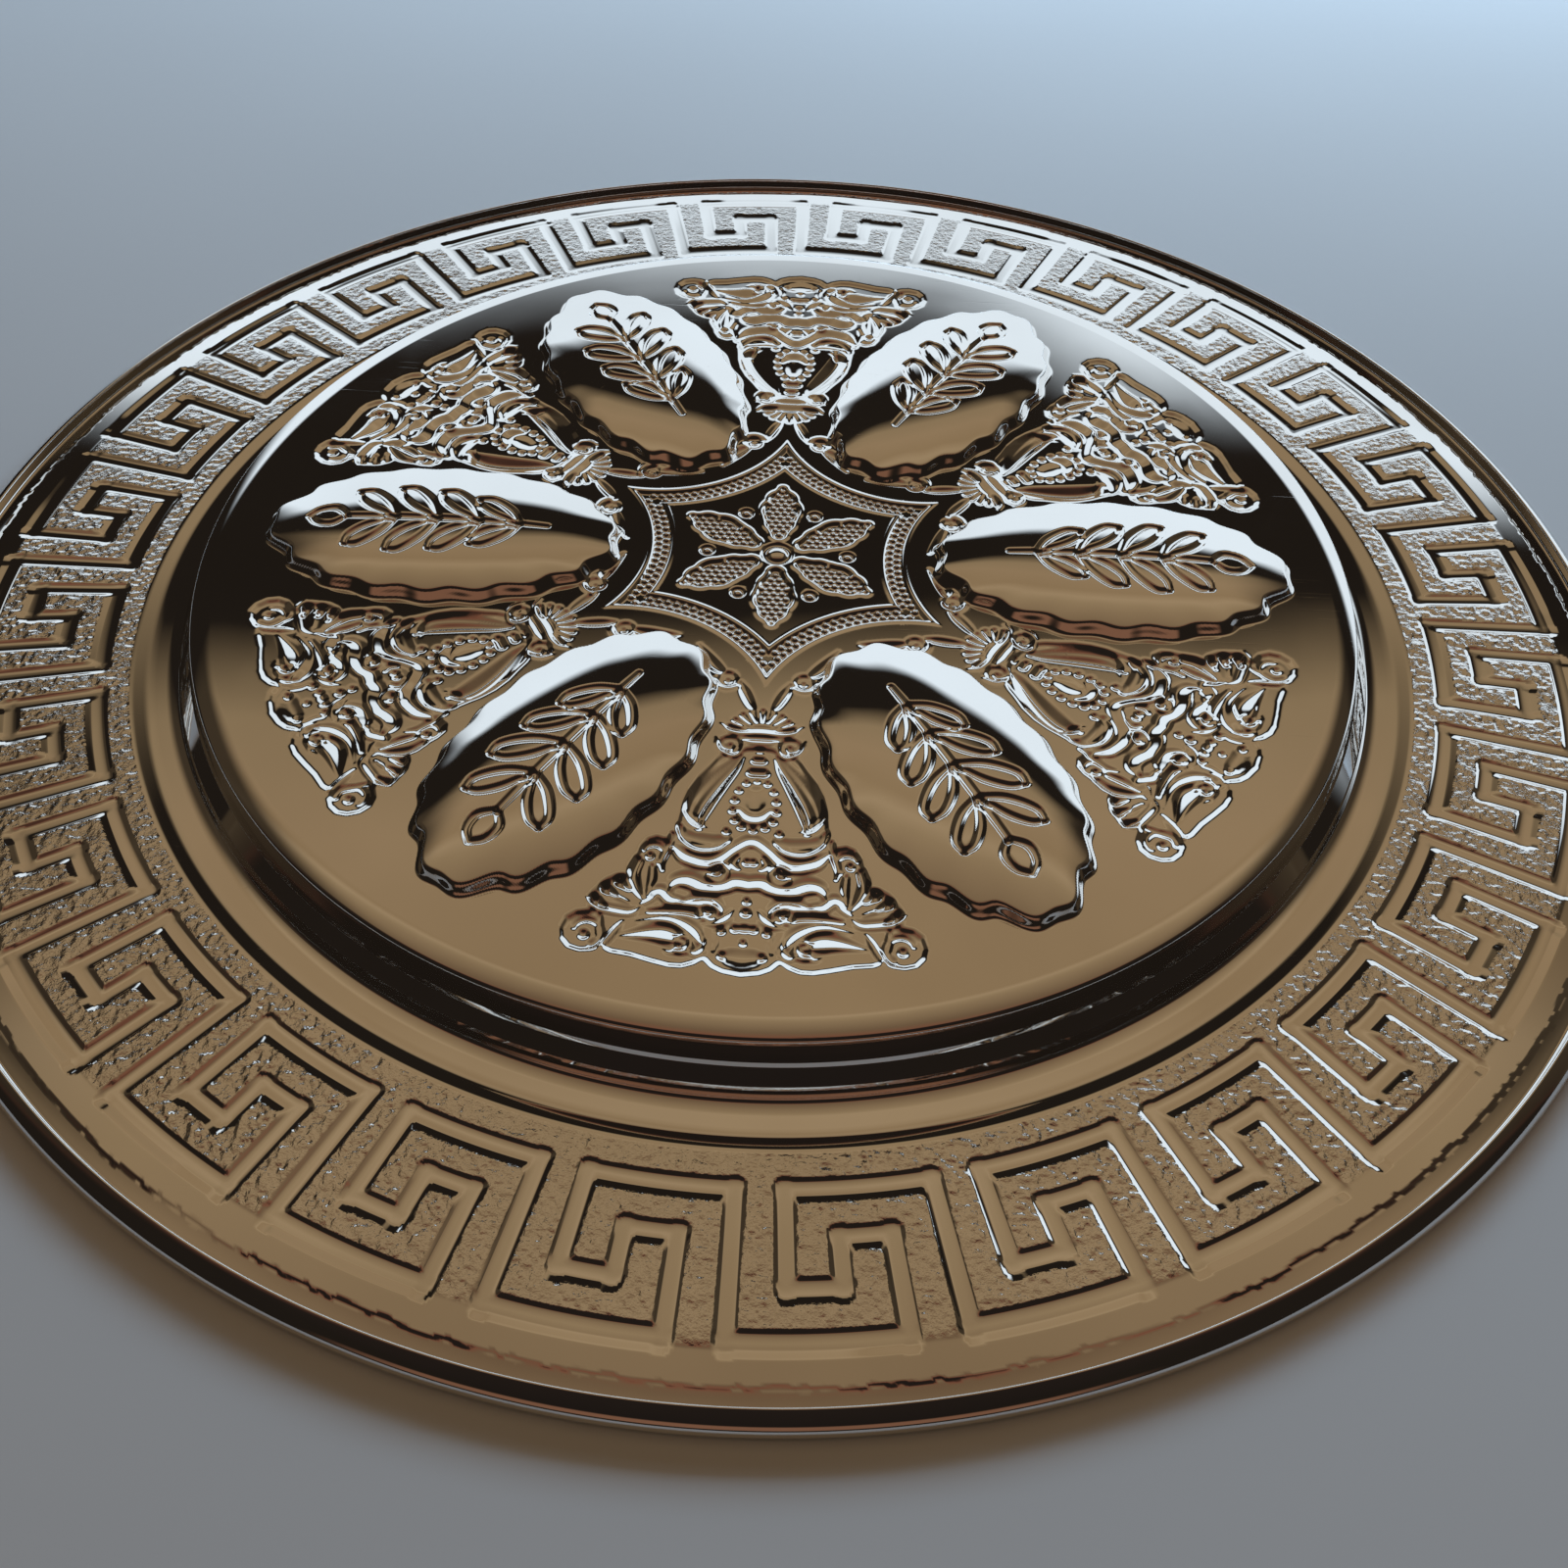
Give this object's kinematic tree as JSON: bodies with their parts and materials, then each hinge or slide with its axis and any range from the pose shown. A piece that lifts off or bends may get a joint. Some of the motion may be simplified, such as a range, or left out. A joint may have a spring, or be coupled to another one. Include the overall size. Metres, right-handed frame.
{
  "type": "seder plate",
  "caption": "Round pressed-metal seder plate lying face down: raised centre disc with scalloped oval food wells, a key-pattern rim and a curled edge rolled over a wire.",
  "frame": {"origin": "centre of the resting ring, in the plane the plate lies on, face down as in the picture", "axes": "+Z out of the plate's back, away from the table; +X through the middle of one food well; +Y between two of the wells"},
  "size_m": [0.3048, 0.3048, 0.0156],
  "materials": {
    "plated_sheet": "bright plated sheet, polished, with stippled ground between the pressed ornament",
    "edge_wire_steel": "drawn steel wire, dull"
  },
  "bodies": {
    "root": {"pressed_plate": "plated_sheet", "edge_wire": "edge_wire_steel"}
  },
  "joints": []
}
